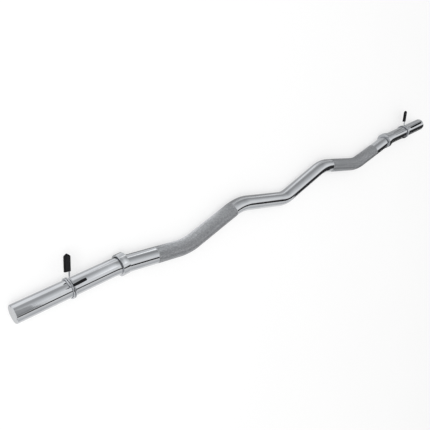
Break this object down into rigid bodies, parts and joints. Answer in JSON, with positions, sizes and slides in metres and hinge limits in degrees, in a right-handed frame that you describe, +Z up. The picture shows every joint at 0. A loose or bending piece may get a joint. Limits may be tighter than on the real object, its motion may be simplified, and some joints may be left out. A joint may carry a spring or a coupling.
{
  "type": "ez curl bar",
  "caption": "Chromed curl bar with angled knurled grips, stop collars and straight sleeves, each with a squeeze-grip spring clip that holds weight plates on.",
  "frame": {"origin": "on the floor, straight below the middle of the sleeves' common axis", "axes": "+X along the sleeves towards the end that is on the right in the picture, +Z up with the bar lying on a floor, +Y towards the side that the spring clips' thumb grips point to, which is up in the picture"},
  "size_m": [1.2, 0.0948, 0.0689],
  "materials": {
    "chromed_steel": "polished chrome plate",
    "spring_steel": "bright plated wire",
    "black_vinyl": "satin soft vinyl"
  },
  "bodies": {
    "bar": {"bar_left_sleeve": "chromed_steel", "bar_left_grip": "chromed_steel", "bar_middle": "chromed_steel", "bar_right_grip": "chromed_steel", "bar_right_sleeve": "chromed_steel", "left_stop_collar": "chromed_steel", "right_stop_collar": "chromed_steel"},
    "left_clip": {"left_clip_spring": "spring_steel"},
    "left_thumb_grip": {"left_clip_thumb_grip": "black_vinyl"},
    "left_finger_grip": {"left_clip_finger_grip": "black_vinyl"},
    "right_clip": {"right_clip_spring": "spring_steel"},
    "right_thumb_grip": {"right_clip_thumb_grip": "black_vinyl"},
    "right_finger_grip": {"right_clip_finger_grip": "black_vinyl"}
  },
  "joints": [
    {"name": "left_clip_slide", "type": "slide", "parent": "bar", "child": "left_clip", "axis": [-1, 0, 0], "range_m": [-0.07, 0.1]},
    {"name": "left_thumb_squeeze", "type": "hinge", "parent": "left_clip", "child": "left_thumb_grip", "pos_m": [-0.5099, 0, 0.01903], "axis": [1, 0, 0], "range_deg": [0, 20], "stiffness_Nm_per_rad": 4.6, "deforming": ["left_clip_spring"]},
    {"name": "left_finger_squeeze", "type": "hinge", "parent": "left_clip", "child": "left_finger_grip", "pos_m": [-0.5099, 0, 0.01903], "axis": [-1, 0, 0], "range_deg": [0, 20], "stiffness_Nm_per_rad": 4.6, "deforming": ["left_clip_spring"]},
    {"name": "right_clip_slide", "type": "slide", "parent": "bar", "child": "right_clip", "axis": [1, 0, 0], "range_m": [-0.07, 0.1]},
    {"name": "right_thumb_squeeze", "type": "hinge", "parent": "right_clip", "child": "right_thumb_grip", "pos_m": [0.5099, 0, 0.01903], "axis": [1, 0, 0], "range_deg": [0, 20], "stiffness_Nm_per_rad": 4.6, "deforming": ["right_clip_spring"]},
    {"name": "right_finger_squeeze", "type": "hinge", "parent": "right_clip", "child": "right_finger_grip", "pos_m": [0.5099, 0, 0.01903], "axis": [-1, 0, 0], "range_deg": [0, 20], "stiffness_Nm_per_rad": 4.6, "deforming": ["right_clip_spring"]}
  ],
  "couplings": [
    {"joint": "left_finger_squeeze", "follows": "left_thumb_squeeze", "ratio": 1},
    {"joint": "right_finger_squeeze", "follows": "right_thumb_squeeze", "ratio": 1}
  ]
}
